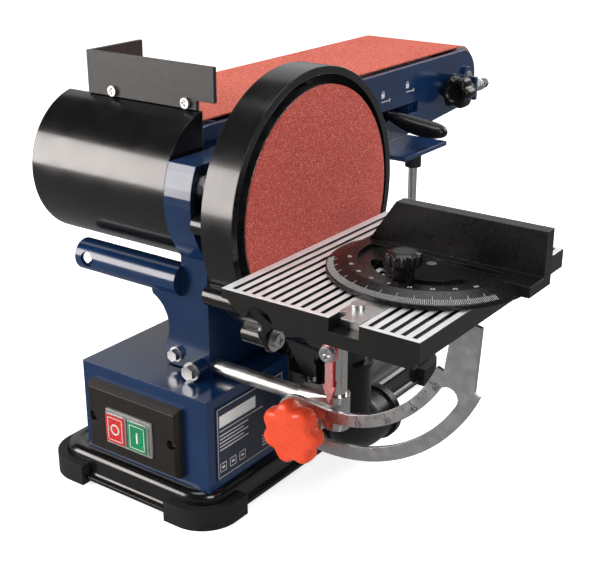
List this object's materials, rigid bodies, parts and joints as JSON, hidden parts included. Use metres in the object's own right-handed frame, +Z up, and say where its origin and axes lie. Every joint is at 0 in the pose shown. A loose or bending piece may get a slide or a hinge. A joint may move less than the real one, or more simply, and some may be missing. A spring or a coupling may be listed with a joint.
{
  "type": "belt and disc bench sander",
  "caption": "Bench sander with a swinging belt arm, a vertical abrasive disc, a tilting grooved work table and a sliding mitre gauge.",
  "frame": {"origin": "on the bench under the base, in the middle of its four bolt holes", "axes": "+X along the drive shaft towards the abrasive disc, +Y along the sanding belt towards the idler, +Z up"},
  "size_m": [0.3625, 0.4891, 0.296],
  "materials": {
    "navy_paint": "glossy enamel",
    "black_paint": "glossy black enamel",
    "wrinkle_black": "wrinkle texture",
    "black_plastic": "fine moulded texture",
    "switch_plastic": "satin",
    "clear_frame": "glossy",
    "red_plastic": "glossy",
    "green_plastic": "glossy",
    "knob_red": "satin",
    "pointer_red": "glossy",
    "rubber": "matt",
    "steel": "turned and ground",
    "zinc": "zinc plated",
    "chrome": "bright plated",
    "aluminium": "machined",
    "disc_alu": "cast and turned",
    "copper": "lacquered winding",
    "abrasive": "aluminium oxide grit",
    "belt_grit": "aluminium oxide grit",
    "label": "satin print"
  },
  "bodies": {
    "base": {"base_pan": "black_paint", "rubber_feet": "rubber", "body_box": "navy_paint", "rating_plate": "label", "switch_plate": "switch_plastic", "switch_frame": "clear_frame", "switch_screws": "black_paint", "main_casting": "navy_paint", "belt_case": "black_paint", "case_bolts": "zinc", "column_bolts": "zinc", "motor_housing": "black_paint", "motor_stator": "copper", "motor_bearings": "steel", "toothed_belt": "rubber", "shaft_bearings": "steel", "disc_guard": "black_paint", "guard_bolts": "zinc", "dust_port": "black_plastic", "rest_post": "steel", "rest_bush": "rubber", "support_rod": "steel", "rod_clamp": "zinc", "table_post": "chrome", "tilt_pointer": "pointer_red", "table_lock_bolt": "steel", "power_cable": "rubber", "cable_gland": "rubber"},
    "spindle": {"drive_shaft": "steel", "driven_pulley": "steel", "drive_drum": "disc_alu", "disc_plate": "disc_alu", "disc_screw": "steel", "abrasive_disc": "abrasive"},
    "rotor": {"motor_rotor": "steel", "motor_pulley": "steel", "motor_fan": "black_plastic"},
    "belt_arm": {"arm_frame": "navy_paint", "platen": "steel", "sanding_belt": "belt_grit", "drum_cover": "black_paint", "work_stop": "wrinkle_black", "stop_screws": "zinc", "arm_bearing": "steel", "tension_spring": "zinc"},
    "idler_slider": {"idler_axle": "steel", "end_cheeks": "navy_paint"},
    "idler": {"idler_roller": "disc_alu"},
    "tension_lever": {"tension_lever": "black_plastic"},
    "tracking_knob": {"tracking_knob": "black_plastic"},
    "work_table": {"work_table": "aluminium", "tilt_pin": "steel", "tilt_quadrant": "zinc"},
    "table_lock_knob": {"table_lock_knob": "knob_red"},
    "mitre_slide": {"mitre_bar": "steel", "mitre_pointer": "zinc"},
    "mitre_head": {"mitre_head": "black_plastic"},
    "mitre_knob": {"mitre_knob": "black_plastic"},
    "stop_button": {"stop_button": "red_plastic"},
    "start_button": {"start_button": "green_plastic"}
  },
  "joints": [
    {"name": "spindle_spin", "type": "hinge", "parent": "base", "child": "spindle", "pos_m": [0, -0.071, 0.21], "axis": [1, 0, 0], "continuous": true},
    {"name": "motor_spin", "type": "hinge", "parent": "base", "child": "rotor", "pos_m": [0, 0.001, 0.085], "axis": [1, 0, 0], "continuous": true},
    {"name": "arm_swing", "type": "hinge", "parent": "base", "child": "belt_arm", "pos_m": [0, -0.071, 0.21], "axis": [1, 0, 0], "range_deg": [0, 90]},
    {"name": "idler_slide", "type": "slide", "parent": "belt_arm", "child": "idler_slider", "axis": [0, 1, 0], "range_m": [-0.008, 0]},
    {"name": "idler_spin", "type": "hinge", "parent": "idler_slider", "child": "idler", "pos_m": [0, 0.283, 0.225], "axis": [1, 0, 0], "continuous": true},
    {"name": "lever_swing", "type": "hinge", "parent": "belt_arm", "child": "tension_lever", "pos_m": [-0.02, 0.161, 0.213], "axis": [0, 0, 1], "range_deg": [0, 40]},
    {"name": "tracking_turn", "type": "hinge", "parent": "belt_arm", "child": "tracking_knob", "pos_m": [0.031, 0.24, 0.22], "axis": [0, 1, 0], "range_deg": [-180, 180]},
    {"name": "table_tilt", "type": "hinge", "parent": "base", "child": "work_table", "pos_m": [0.141, -0.106, 0.177], "axis": [0, 1, 0], "range_deg": [0, 45]},
    {"name": "table_lock", "type": "hinge", "parent": "base", "child": "table_lock_knob", "pos_m": [0.12573, -0.121, 0.08374], "axis": [0, 1, 0], "range_deg": [0, 120]},
    {"name": "mitre_travel", "type": "slide", "parent": "work_table", "child": "mitre_slide", "axis": [0, 1, 0], "range_m": [-0.04, 0.04]},
    {"name": "mitre_swivel", "type": "hinge", "parent": "mitre_slide", "child": "mitre_head", "pos_m": [0.1935, -0.089, 0.192], "axis": [0, 0, 1], "range_deg": [-60, 60]},
    {"name": "mitre_lock", "type": "hinge", "parent": "mitre_slide", "child": "mitre_knob", "pos_m": [0.1935, -0.1205, 0.205], "axis": [0, 0, 1], "range_deg": [-120, 0]},
    {"name": "stop_press", "type": "slide", "parent": "base", "child": "stop_button", "axis": [0, 1, 0], "range_m": [0, 0.003], "stiffness_N_per_m": 400},
    {"name": "start_press", "type": "slide", "parent": "base", "child": "start_button", "axis": [0, 1, 0], "range_m": [0, 0.003], "stiffness_N_per_m": 400}
  ],
  "couplings": [
    {"joint": "motor_spin", "follows": "spindle_spin", "ratio": 1},
    {"joint": "idler_spin", "follows": "spindle_spin", "ratio": 1.6},
    {"joint": "idler_slide", "follows": "lever_swing", "m_per_rad": -0.011316}
  ]
}
